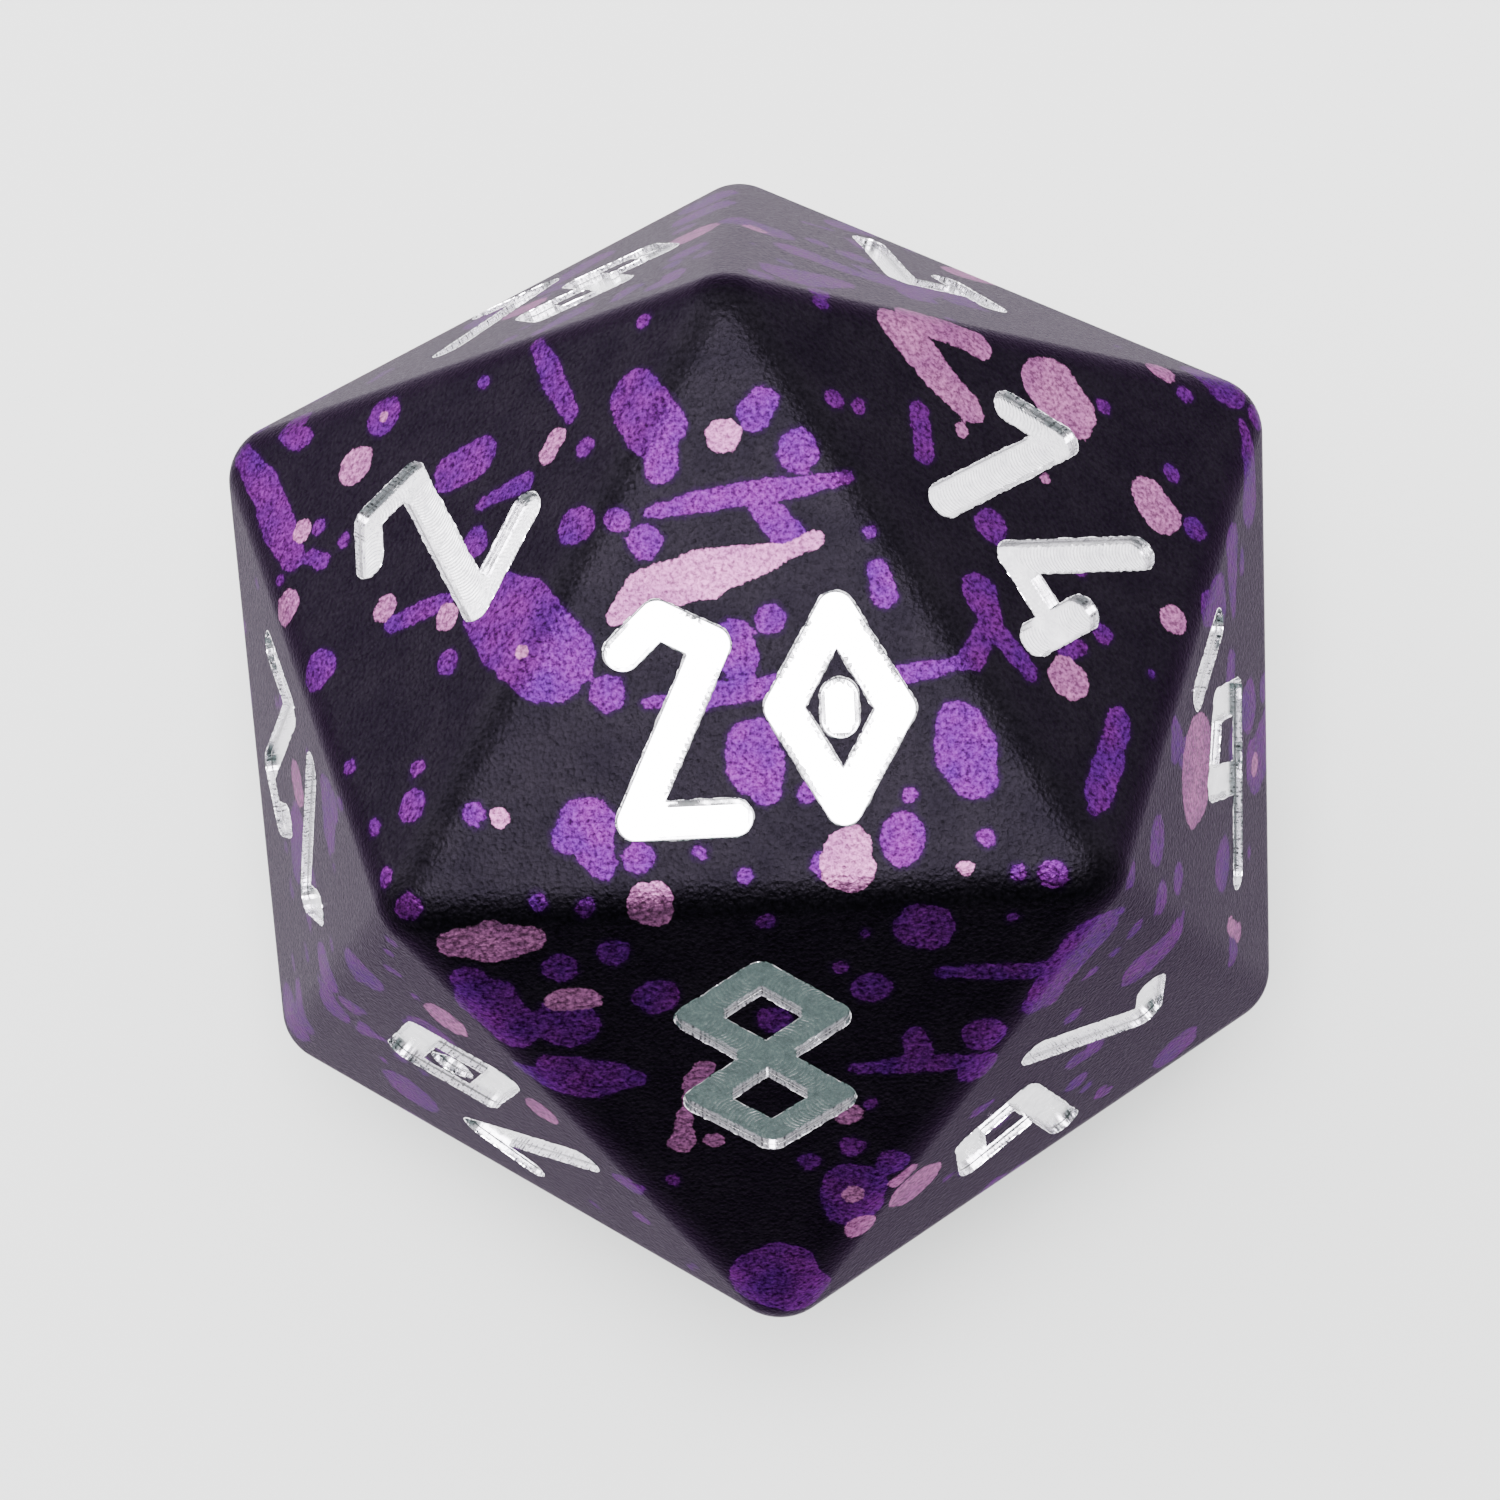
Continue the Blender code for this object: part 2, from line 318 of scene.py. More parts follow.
PINK = {
    20: [
        [(-0.17, 0.11, 0.013), (-0.12, 0.145, 0.030), (-0.04, 0.163, 0.036), (0.03, 0.175, 0.022),
         (0.075, 0.188, 0.010), (0.11, 0.20, 0.014)],
        [(-0.007, 0.354, 0.025)],
        [(-0.136, -0.29, 0.032), (-0.135, -0.30, 0.030)],
        [(0.138, -0.228, 0.034), (0.136, -0.245, 0.038)],
        [(-0.339, -0.16, 0.013)],
        [(0.296, -0.258, 0.010)],
    ],
    8: [
        [(-0.13, 0.365, 0.025)],
        [(-0.22, 0.265, 0.012), (-0.19, 0.28, 0.014)],
        [(-0.12, 0.125, 0.020)],
        [(0.125, 0.165, 0.021), (0.122, 0.135, 0.013), (0.112, 0.095, 0.009), (0.098, 0.055, 0.017),
         (0.082, 0.02, 0.014)],
        [(0.078, 0.165, 0.015)],
        [(0.24, -0.12, 0.022), (0.28, -0.12, 0.020)],
        [(0.31, -0.235, 0.025), (0.36, -0.235, 0.036), (0.41, -0.235, 0.025)],
        [(-0.12, 0.288, 0.018)],
    ],
    2: [
        [(-0.066, 0.293, 0.020)],
        [(-0.18, 0.245, 0.028)],
        [(0.055, 0.249, 0.033)],
        [(-0.118, 0.03, 0.022)],
        [(-0.09, -0.105, 0.022)],
        [(0.18, -0.135, 0.018), (0.20, -0.135, 0.018)],
        [(0.139, 0.245, 0.010)],
        [(-0.09, -0.28, 0.011)],
    ],
    14: [
        [(-0.155, 0.165, 0.052), (-0.12, 0.165, 0.055)],
        [(0.055, 0.214, 0.034), (0.085, 0.214, 0.036)],
        [(-0.11, 0.41, 0.025)],
        [(-0.26, 0.08, 0.026), (-0.30, 0.045, 0.028), (-0.34, 0.01, 0.030)],
        [(-0.34, -0.04, 0.030), (-0.26, -0.03, 0.034), (-0.18, -0.01, 0.024)],
        [(0.23, 0.108, 0.025)],
        [(0.226, -0.145, 0.035)],
        [(-0.154, -0.05, 0.012)],
        [(-0.04, 0.045, 0.010)],
    ],
    6: [[(0.115, -0.10, 0.085)], [(-0.13, 0.155, 0.020)], [(0.09, 0.30, 0.016), (0.12, 0.25, 0.014)]],
    4: [[(0.19, 0.14, 0.036), (0.23, 0.14, 0.034)], [(-0.215, 0.125, 0.020)]],
    18: [[(0.18, 0.13, 0.048)], [(-0.07, 0.0, 0.038)]],
    12: [[(-0.02, -0.06, 0.038)]],
    10: [[(0.03, -0.185, 0.030)], [(0.24, -0.16, 0.038)]],
    16: [[(0.175, -0.215, 0.048)]],
}
SPLASH_SEED = 20
SPLASHES_PER_FACE = (26, 5)
SPLASH_REACH = 0.0012
# The other faces' splashes: radii in edge lengths, and the shares that are single drops or have a tail
SMALLEST_SPLASH = 0.009
SPLASH_SPREAD = 0.045
SMALL_SPLASH_BIAS = 2.6
SINGLE_DROPS = 0.55
TAILED_SPLASHES = 0.25
TAIL_LENGTH = 0.8
TAIL_RADIUS = 0.008
SHORTEST_RUN = 1e-12


def die_corners():
    """The twelve sharp corners about the die's centre, ring by ring from the top."""
    top_radius = EDGE / math.sqrt(3.0)
    rings = [
        (top_radius, INRADIUS, (90.0, 210.0, 330.0)),
        (top_radius * GOLDEN, INRADIUS / GOLDEN**3, (30.0, 150.0, 270.0)),
        (top_radius * GOLDEN, -INRADIUS / GOLDEN**3, (210.0, 330.0, 90.0)),
        (top_radius, -INRADIUS, (270.0, 30.0, 150.0)),
    ]
    corners = []
    for radius, height, azimuths in rings:
        for azimuth in azimuths:
            turn = math.radians(azimuth)
            corners.append(Vector((radius * math.cos(turn), radius * math.sin(turn), height)))
    return corners


def face_frame(corners):
    """A frame on a face's centre: X to the numeral's right, Y up it, Z out of the face."""
    centre = sum(corners, Vector()) / len(corners)
    normal = centre.normalized()
    up = (corners[0] - centre).normalized()
    made = Matrix((up.cross(normal), up, normal)).transposed().to_4x4()
    made.translation = centre
    return made


def numbered_frames():
    """Each number with the frame of its face."""
    corners = die_corners()
    frames = {}
    for number, picks in UPPER_FACES.items():
        frames[number] = face_frame([corners[pick] for pick in picks])
        frames[OPPOSITE_SUM - number] = face_frame([-corners[pick] for pick in picks])
    return frames


def numeral_strokes(number):
    """The straight strokes of a number, as pairs of 2D points from its face's centre."""
    digits = str(number)
    height = SINGLE_HEIGHT if len(digits) == 1 else PAIR_HEIGHT
    lines = []
    pen = 0.0
    for place, digit in enumerate(digits):
        points = [point for line in DIGITS[digit] for point in line]
        left = min(x for x, _ in points) * height
        right = max(x for x, _ in points) * height
        if place > 0:
            pen += PAIR_GAP if digits[0] == "1" else TIGHT_PAIR_GAP
        lines += [[(x * height + pen - left, y * height) for x, y in line] for line in DIGITS[digit]]
        pen += right - left
    if number in BARRED_NUMBERS:
        lines.append([(x * height + pen / 2.0, y * height) for x, y in BAR])
    shift_right, shift_up = SHIFTS.get(number, (0.0, 0.0))
    across = shift_right - pen / 2.0
    rise = shift_up - FOOT_BELOW_CENTRE
    placed = [[Vector((x + across, y + rise)) for x, y in line] for line in lines]
    return [pair for line in placed for pair in zip(line, line[1:])]


def stroke_outline(start, end):
    """The outline of the round cutter's path between two points, as a ring of 2D points."""
    points = []
    for centre in (start, end):
        for side in range(CUTTER_SIDES):
            angle = math.tau * side / CUTTER_SIDES
            points.append(centre + Vector((math.cos(angle), math.sin(angle))) * STROKE_WIDTH / 2.0)
    return [points[index] for index in convex_hull_2d(points)]


def rings_of(triangles):
    """The boundary of a set of triangles, as closed rings of point numbers with the inside on the left."""
    directed = set()
    for triangle in triangles:
        directed.update(zip(triangle, triangle[1:] + triangle[:1]))
    onward = {}
    for start, end in directed:
        if (end, start) not in directed:
            onward.setdefault(start, []).append(end)
    rings = []
    while onward:
        start = next(iter(onward))
        ring = [start]
        while True:
            choices = onward[ring[-1]]
            following = choices.pop()
            if not choices:
                del onward[ring[-1]]
            if following == start:
                break
            ring.append(following)
        rings.append(ring)
    return rings


def numeral_rings(number):
    """The outline of everything the cutter clears for one numeral: rings of 2D points, metal on the right."""
    points = []
    outlines = []
    for start, end in numeral_strokes(number):
        outline = stroke_outline(start, end)
        outlines.append(list(range(len(points), len(points) + len(outline))))
        points += outline
    flat, _, pieces, _, _, owners = delaunay_2d_cdt(points, [], outlines, INSIDE_ONLY, MERGE_DISTANCE)
    cleared = [list(piece) for piece, over in zip(pieces, owners) if over]
    rings = [np.array([flat[index] for index in ring]) for ring in rings_of(cleared)]
    return [evenly_spaced(ring, RIM_SPACING) for ring in rings]


def turned_left(first, ring):
    """A ring's point numbers, from first on, in the order that keeps its inside on the left."""
    numbers = list(range(first, first + len(ring)))
    x, y = ring.T
    area = float(x @ np.roll(y, -1) - y @ np.roll(x, -1))
    return numbers if area > 0.0 else numbers[::-1]


def evenly_spaced(ring, spacing):
    """A closed 2D ring, drawn again with its points the same distance apart."""
    closed = np.vstack([ring, ring[:1]])
    along = np.concatenate([[0.0], np.cumsum(np.linalg.norm(np.diff(closed, axis=0), axis=1))])
    count = max(FEWEST_RING_POINTS, int(round(along[-1] / spacing)))
    wanted = np.arange(count) * along[-1] / count
    return np.column_stack([np.interp(wanted, along, closed[:, axis]) for axis in (0, 1)])


def outward(ring):
    """Unit 2D directions from a ring towards the metal left standing."""
    tangent = np.roll(ring, -1, axis=0) - np.roll(ring, 1, axis=0)
    tangent /= np.linalg.norm(tangent, axis=1)[:, None]
    return np.column_stack([tangent[:, 1], -tangent[:, 0]])


def wander(chance, count, points_apart):
    """Smooth random numbers round a ring, about -1 to 1, that change over so many points."""
    knots = max(FEWEST_KNOTS, int(round(count / points_apart)))
    values = np.array([chance.uniform(-1.0, 1.0) for _ in range(knots)])
    where = np.arange(count) * knots / count
    low = where.astype(int) % knots
    share = where - np.floor(where)
    share = share * share * (3.0 - 2.0 * share)
    return values[low] * (1.0 - share) + values[(low + 1) % knots] * share


def nearest_in_triangle(points, corners):
    """The closest point of a 2D triangle to each 2D point."""
    best = points.copy()
    gap = np.full(len(points), np.inf)
    outside = np.zeros(len(points), bool)
    for start, end in zip(corners, np.roll(corners, -1, axis=0)):
        along = end - start
        inward = np.array([-along[1], along[0]])
        beyond = (points - start) @ inward < 0.0
        outside |= beyond
        share = np.clip((points - start) @ along / (along @ along), 0.0, 1.0)
        foot = start + share[:, None] * along
        distance = np.linalg.norm(points - foot, axis=1)
        nearer = distance < gap
        gap = np.where(nearer, distance, gap)
        best[nearer] = foot[nearer]
    best[~outside] = points[~outside]
    return best


def on_rounded_skin(points, face):
    """2D points of a sharp face, moved to the rounded skin, in the row frame."""
    triangle = np.array([(0.0, 2.0), (-math.sqrt(3.0), -1.0), (math.sqrt(3.0), -1.0)])
    triangle *= EDGE / math.sqrt(3.0) / 2.0
    inset = triangle * (1.0 - EDGE_RADIUS / INRADIUS)
    core = np.column_stack([nearest_in_triangle(points, inset), np.full(len(points), -EDGE_RADIUS)])
    sharp = np.column_stack([points, np.zeros(len(points))])
    away = sharp - core
    away /= np.linalg.norm(away, axis=1)[:, None]
    return placed(core + away * EDGE_RADIUS, face)


def placed(points, face):
    """Points of a face's own frame, moved to where the face is on the die."""
    turn = np.array(face.to_3x3())
    return points @ turn.T + np.array(face.translation) + np.array(CENTRE)


def face_lattice():
    """2D points that cover a sharp face and its edges, twice as close where it is rounded."""
    points = []
    for row in range(LATTICE_STEPS + 1):
        for step in range(row + 1):
            rounded = min(step, row - step, LATTICE_STEPS - row) <= FINE_ROWS
            if not rounded and (row % 2 or step % 2):
                continue
            x = (step - row / 2.0) / LATTICE_STEPS * EDGE
            y = (2.0 / 3.0 - row / LATTICE_STEPS) * EDGE * math.sqrt(3.0) / 2.0
            points.append((x, y))
    return np.array(points)


def clear_of_rims(points, rims, clearance):
    """Which points keep that far from every rim point."""
    everything = np.vstack(rims)
    keep = np.ones(len(points), bool)
    for start in range(0, len(points), BLOCK_LENGTH):
        block = points[start : start + BLOCK_LENGTH]
        gaps = np.linalg.norm(block[:, None, :] - everything[None, :, :], axis=2)
        keep[start : start + BLOCK_LENGTH] = gaps.min(axis=1) > clearance
    return keep


class Surface:
    """Points and faces gathered into one mesh, with named numbers on the points."""

    def __init__(self):
        self.points = []
        self.faces = []
        self.values = {}
        self.count = 0

    def add(self, points, faces, **values):
        self.points.append(np.asarray(points, float))
        self.faces += [[index + self.count for index in face] for face in faces]
        for name, numbers in values.items():
            self.values.setdefault(name, []).append(np.broadcast_to(numbers, len(points)).astype(float))
        self.count += len(points)

    def make(self, name, material):
        mesh = bpy.data.meshes.new(name)
        mesh.from_pydata(np.vstack(self.points).tolist(), [], self.faces)
        for label, blocks in self.values.items():
            mesh.attributes.new(label, "FLOAT", "POINT").data.foreach_set("value", np.concatenate(blocks))
        mesh.materials.append(material)
        made = bpy.data.objects.new(name, mesh)
        bpy.context.scene.collection.objects.link(made)
        return made


def weld(thing):
    """Joins points that stand in the same place."""
    bpy.context.view_layer.objects.active = thing
    modifier = thing.modifiers.new("weld", "WELD")
    modifier.merge_threshold = WELD_DISTANCE
    with bpy.context.temp_override(object=thing, active_object=thing, selected_objects=[thing]):
        bpy.ops.object.modifier_apply(modifier=modifier.name)


def area_of(points, triangle):
    """The area of one triangle of 2D points."""
    first, second, third = (points[index] for index in triangle)
    return abs((second - first).cross(third - first)) / 2.0


def triangulated(loose, rims, inside):
    """Corners and triangles over loose 2D points and closed rims, either inside the rims or outside them."""
    points = [Vector(point) for point in loose]
    loops = []
    for rim in rims:
        loops.append(turned_left(len(points), rim))
        points += [Vector(point) for point in rim]
    flat, _, pieces, _, _, owners = delaunay_2d_cdt(points, [], loops, WHOLE_HULL, MERGE_DISTANCE)
    kept = [
        list(piece)
        for piece, over in zip(pieces, owners)
        if bool(len(over) % 2) == inside and area_of(flat, piece) > SLIVER_AREA
    ]
    used = sorted({index for piece in kept for index in piece})
    order = {old: new for new, old in enumerate(used)}
    corners = np.array([flat[index] for index in used])
    return corners, [[order[index] for index in piece] for piece in kept]


def add_film_of_face(surface, face, rims, lattice):
    """The dyed skin of one face, cut away where its numeral is."""
    loose = lattice[clear_of_rims(lattice, rims, RIM_CLEARANCE)]
    corners, triangles = triangulated(loose, rims, inside=False)
    surface.add(on_rounded_skin(corners, face), triangles)


def wall_sections(number, ring, rim, chance):
    """The wall under one ring, as levels from the rim over the burr and down to the floor.

    Each level is its 2D points, their heights, and how far it counts as wall and as foot, from 0 to 1.
    """
    away = outward(ring)
    count = len(ring)
    quick_period, slow_period = BURR_PERIODS
    burr = 0.5 + 0.5 * wander(chance, count, quick_period)
    tall = BURR_LEAST + BURR_RISE * burr * (0.6 + 0.4 * wander(chance, count, slow_period))
    if number == RESTING_NUMBER:
        # The die's weight has pressed the burr flat.
        tall = np.zeros(count)
    crest = ring + away * (CREST_WANDER * wander(chance, count, CREST_PERIOD))[:, None]
    scrape = WALL_SCRAPE * wander(chance, count, SCRAPE_PERIOD)
    inset = ring - away * WALL_INSET
    upper = ring - away * (WALL_INSET + scrape * BULGE_SHARE)[:, None]
    lower = ring - away * (WALL_INSET - scrape * BULGE_SHARE)[:, None]
    return [
        (rim, np.zeros(count), 1.0, 0.0),
        (crest, tall, 1.0, 0.0),
        (inset, scrape * LIP_SHARE - LIP_DEPTH, 1.0, 0.0),
        (upper, np.full(count, -POCKET_DEPTH * UPPER_LEVEL), 1.0, 0.0),
        (lower, np.full(count, -POCKET_DEPTH * LOWER_LEVEL), 1.0, 0.0),
        (inset, np.full(count, FOOT_HEIGHT - POCKET_DEPTH), 1.0, 1.0),
        (ring - away * FOOT_REACH, np.full(count, -POCKET_DEPTH), 0.0, 1.0),
    ]


def add_pocket(surface, number, face, rings, rims, chance):
    """The bare metal of one numeral: the burr round its rim, the walls and the milled floor."""
    floors = []
    for ring, rim in zip(rings, rims):
        count = len(ring)
        run = np.cumsum(np.linalg.norm(ring - np.roll(ring, 1, axis=0), axis=1)) * MILLIMETRES_PER_METRE
        following = np.roll(np.arange(count), -1).tolist()
        quads = [[index, index + count, after + count, after] for index, after in enumerate(following)]
        sections = wall_sections(number, ring, rim, chance)
        for pair in zip(sections, sections[1:]):
            points = [placed(np.column_stack([flat, heights]), face) for flat, heights, _, _ in pair]
            wall = np.repeat([share for _, _, share, _ in pair], count)
            foot = np.repeat([share for _, _, _, share in pair], count)
            surface.add(np.vstack(points), quads, wall=wall, sweep=np.tile(run, 2), calm=0.0, foot=foot)
        floors.append(sections[-1][0])
    add_floor(surface, number, face, floors)


def add_floor(surface, number, face, floors):
    """The milled floor of one numeral, up to the feet of its walls."""
    everything = np.vstack(floors)
    low, high = everything.min(axis=0), everything.max(axis=0)
    across = np.arange(low[0], high[0], FLOOR_SPACING)
    up = np.arange(low[1], high[1], FLOOR_SPACING)
    grid = np.array([(x, y) for y in up for x in across])
    grid = grid[clear_of_rims(grid, floors, RIM_CLEARANCE)]
    corners, triangles = triangulated(grid, floors, inside=True)
    points = placed(np.column_stack([corners, np.full(len(corners), -POCKET_DEPTH)]), face)
    foot = 1.0 - clear_of_rims(corners, floors, ON_RIM_DISTANCE)
    sweep, calm = cutter_sweep(number, corners)
    surface.add(points, triangles, wall=0.0, sweep=sweep, calm=calm, foot=foot)


def cutter_sweep(number, points):
    """How far along its run the cutter last touched each point, in millimetres, for the arcs it leaves.

    With it comes how clear the point is of another stroke's arcs, from 0 where two strokes meet up to 1.
    """
    best = np.full(len(points), np.inf)
    rival = np.full(len(points), np.inf)
    sweep = np.zeros(len(points))
    run = 0.0
    radius = STROKE_WIDTH / 2.0
    for start, end in numeral_strokes(number):
        along = np.array(end - start)
        length = np.linalg.norm(along)
        along /= length
        offset = points - np.array(start)
        forward = offset @ along
        aside = np.abs(offset @ np.array([-along[1], along[0]]))
        beyond = np.maximum(0.0, np.maximum(-forward, forward - length))
        gap = np.hypot(beyond, aside)
        trail = forward - np.sqrt(np.maximum(radius**2 - np.minimum(aside, radius) ** 2, 0.0))
        nearer = gap < best
        rival = np.where(nearer, best, np.minimum(rival, gap))
        best = np.where(nearer, gap, best)
        sweep = np.where(nearer, (run + trail) * MILLIMETRES_PER_METRE, sweep)
        run += length
    return sweep, np.clip((rival - best - JOINT_MARGIN) / JOINT_WIDTH, 0.0, 1.0)


def splash_field(points, chains, frames):
    """Distance in millimetres from each point to the edge of the nearest splash, negative inside it."""
    field = np.full(len(points), SPLASH_REACH)
    for number, face_chains in chains.items():
        for chain in face_chains:
            discs = np.array(chain) * EDGE
            centres = on_rounded_skin(discs[:, :2], frames[number])
            middle = centres.mean(axis=0)
            reach = np.linalg.norm(centres - middle, axis=1).max() + discs[:, 2].max() + SPLASH_REACH
            near = np.nonzero(np.linalg.norm(points - middle, axis=1) < reach)[0]
            spots = points[near]
            closest = np.full(len(near), np.inf)
            ends = list(zip(range(len(chain) - 1), range(1, len(chain)))) or [(0, 0)]
            for first, last in ends:
                along = centres[last] - centres[first]
                share = np.clip((spots - centres[first]) @ along / max(along @ along, SHORTEST_RUN), 0.0, 1.0)
                foot = centres[first] + share[:, None] * along
                radius = discs[first, 2] + share * (discs[last, 2] - discs[first, 2])
                closest = np.minimum(closest, np.linalg.norm(spots - foot, axis=1) - radius)
            field[near] = np.minimum(field[near], closest)
    return field * MILLIMETRES_PER_METRE


def random_chain(chance):
    """One splash somewhere on a face: a drop, a long drop or a streak."""
    while True:
        x, y = chance.uniform(-0.5, 0.5), chance.uniform(-0.29, 0.58)
        if abs(x) < (0.577 - y) / math.sqrt(3.0):
            break
    radius = SMALLEST_SPLASH + SPLASH_SPREAD * chance.random() ** SMALL_SPLASH_BIAS
    if chance.random() < SINGLE_DROPS:
        return [(x, y, radius)]
    turn = chance.uniform(0.0, math.tau)
    length = radius * chance.uniform(0.8, 2.4)
    x_end, y_end = x + math.cos(turn) * length, y + math.sin(turn) * length
    chain = [(x, y, radius), (x_end, y_end, radius * chance.uniform(0.5, 0.9))]
    if chance.random() < TAILED_SPLASHES:
        tail = length * TAIL_LENGTH
        chain.append((x_end + math.cos(turn) * tail, y_end + math.sin(turn) * tail, TAIL_RADIUS))
    return chain


def all_splashes():
    """Violet and pink chains of every face, drawn at random where none are listed."""
    chance = random.Random(SPLASH_SEED)
    violet = {number: list(chains) for number, chains in VIOLET.items()}
    pink = {number: list(chains) for number, chains in PINK.items()}
    violet_count, pink_count = SPLASHES_PER_FACE
    for number in range(1, OPPOSITE_SUM):
        if number not in violet:
            violet[number] = [random_chain(chance) for _ in range(violet_count)]
        if number not in pink:
            pink[number] = [random_chain(chance) for _ in range(pink_count)]
    return violet, pink


class Nodes:
    """The node tree of a material or a world, built one node at a time."""

    def __init__(self, owner):
        owner.use_nodes = True
        self.tree = owner.node_tree

    def add(self, kind, inputs=None, output=0, **settings):
        made = self.tree.nodes.new("ShaderNode" + kind)
        for setting, value in settings.items():
            setattr(made, setting, value)
        for socket, value in (inputs or {}).items():
            self.set(made.inputs[socket], value)
        return made.outputs[output]

    def set(self, socket, value):
        if isinstance(value, bpy.types.NodeSocket):
            self.tree.links.new(value, socket)
        else:
            socket.default_value = value

    def finish(self, shader, inputs):
        """Sets the inputs of the shader that the tree came with."""
        for socket, value in inputs.items():
            self.set(self.tree.nodes[shader].inputs[socket], value)

    def math(self, operation, first, second=0.0, third=0.0):
        return self.add("Math", {0: first, 1: second, 2: third}, operation=operation)

    def swing(self, value, size):
        """A value from 0 to 1, moved to swing that far in all about 0."""
        return self.math("MULTIPLY_ADD", value, size, -size / 2.0)

    def ramp(self, value, low, high, to_low=0.0, to_high=1.0, curve="LINEAR"):
        inputs = {"Value": value, "From Min": low, "From Max": high, "To Min": to_low, "To Max": to_high}
        return self.add("MapRange", inputs, interpolation_type=curve)

    def mix(self, factor, first, second, blend="MIX"):
        inputs = {0: factor, 6: first, 7: second}
        return self.add("Mix", inputs, output=2, data_type="RGBA", blend_type=blend)

    def noise(self, where, scale, detail, roughness):
        inputs = {"Vector": where, "Scale": scale, "Detail": detail, "Roughness": roughness}
        return self.add("TexNoise", inputs)

    def grainy(self, colour, strength):
        """A colour made lighter and darker by a strength about 1, for uneven dye and painted glint in the
        grain.
        """
        grey = self.add("CombineColor", {0: strength, 1: strength, 2: strength})
        return self.mix(1.0, colour, grey, "MULTIPLY")

    def attribute(self, name):
        return self.add("Attribute", output=2, attribute_name=name)

    def bump(self, height, distance):
        return self.add("Bump", {"Height": height, "Distance": distance})


def film_material():
    """Blasted aluminium under a black anodised film, with violet and pink dye where splashes landed."""
    material = bpy.data.materials.new("splash_dyed_film")
    nodes = Nodes(material)
    where = nodes.add("TexCoord", output="Object")

    # Splash edges wander a little and are ragged at the scale of the grain.
    slow_scale, quick_scale = EDGE_SCALES
    slow = nodes.swing(nodes.noise(where, slow_scale, 2.0, 0.5), 0.50)
    quick = nodes.swing(nodes.noise(where, quick_scale, 3.0, 0.65), 0.34)
    ragged = nodes.math("ADD", slow, quick)
    violet_edge = nodes.math("ADD", nodes.attribute("violet"), ragged)
    pink_edge = nodes.math("ADD", nodes.attribute("pink"), ragged)
    violet_mask = nodes.ramp(violet_edge, 0.03, -0.03)
    pink_mask = nodes.ramp(pink_edge, 0.03, -0.03)

    # Dye takes unevenly, in patches and from grain to grain, and violet bleeds a little past its edge. The
    # grain-to-grain lightening and darkening is partly uneven dye and partly painted glint.
    patches = nodes.ramp(nodes.noise(where, PATCH_SCALE, 3.0, 0.6), 0.35, 0.65)
    fine = nodes.noise(where, GRAIN_SCALE, 3.0, 0.65)
    violet = nodes.grainy(nodes.mix(patches, *VIOLET_DYE), nodes.ramp(fine, 0.36, 0.64, 0.30, 1.9))
    pink = nodes.grainy(nodes.mix(patches, *PINK_DYE), nodes.ramp(fine, 0.38, 0.62, 0.45, 1.55))
    black = nodes.grainy(nodes.mix(patches, *BLACK_DYE), nodes.ramp(fine, 0.36, 0.64, 0.65, 1.35))
    halo = nodes.math("MULTIPLY", nodes.ramp(violet_edge, 0.22, 0.0), 0.6)
    black = nodes.mix(halo, black, VIOLET_HALO)
    colour = nodes.mix(pink_mask, nodes.mix(violet_mask, black, violet), pink)

    # The blasted grain: rounded pits about a fifth of a millimetre across.
    grain = nodes.add("TexVoronoi", {"Vector": where, "Scale": GRAIN_SCALE, "Randomness": 1.0}, feature="F1")
    height = nodes.math("ADD", nodes.math("MULTIPLY", grain, 0.6), fine)

    inputs = {
        "Base Color": colour,
        "Metallic": 1.0,
        "Specular Tint": FILM_EDGE_TINT,
        "Roughness": nodes.ramp(fine, 0.3, 0.7, 0.34, 0.46),
        "Normal": nodes.bump(height, GRAIN_HEIGHT),
    }
    nodes.finish("Principled BSDF", inputs)
    return material


